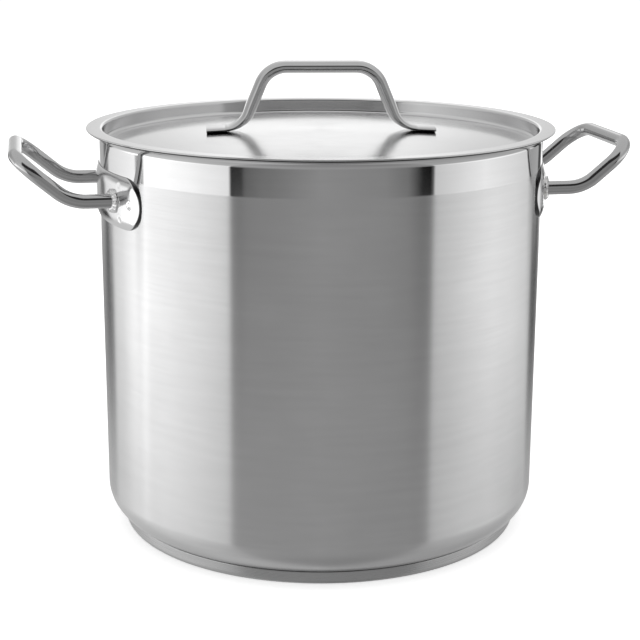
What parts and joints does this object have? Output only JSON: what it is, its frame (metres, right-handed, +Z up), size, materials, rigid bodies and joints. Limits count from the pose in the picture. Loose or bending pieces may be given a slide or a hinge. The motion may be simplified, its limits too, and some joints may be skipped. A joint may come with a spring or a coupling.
{
  "type": "stock pot",
  "caption": "Tall cylindrical stainless stock pot with tube side handles on welded plates, a sandwich base and a recessed lift-off lid with an arched handle.",
  "frame": {"origin": "centre of the underside of the base, on the surface the pot stands on", "axes": "+Z up along the pot's axis; the side handles lie on the X axis, left at -X and right at +X; the front is -Y"},
  "size_m": [0.4214, 0.3184, 0.3214],
  "materials": {
    "brushed_body": "circumferentially brushed, mirror band under the rim",
    "base_aluminium": "as cast, enclosed",
    "base_cap_steel": "satin",
    "polished_steel": "mirror polished",
    "handle_steel": "bright polished",
    "weld_steel": "as welded, pickled",
    "lid_steel": "satin centre, polished flange and wall",
    "lid_handle_steel": "bright polished"
  },
  "bodies": {
    "pot": {"pot_shell": "brushed_body", "base_core": "base_aluminium", "base_cap": "base_cap_steel", "left_handle_plate": "polished_steel", "right_handle_plate": "polished_steel", "left_handle": "handle_steel", "right_handle": "handle_steel", "left_front_weld": "weld_steel", "left_rear_weld": "weld_steel", "right_front_weld": "weld_steel", "right_rear_weld": "weld_steel", "left_plate_spot_welds": "weld_steel", "right_plate_spot_welds": "weld_steel"},
    "lid": {"lid_pan": "lid_steel", "lid_handle": "lid_handle_steel", "lid_handle_spot_welds": "weld_steel"}
  },
  "joints": [
    {"name": "lid_lift", "type": "slide", "parent": "pot", "child": "lid", "axis": [0, 0, 1], "range_m": [0, 0.35]}
  ]
}
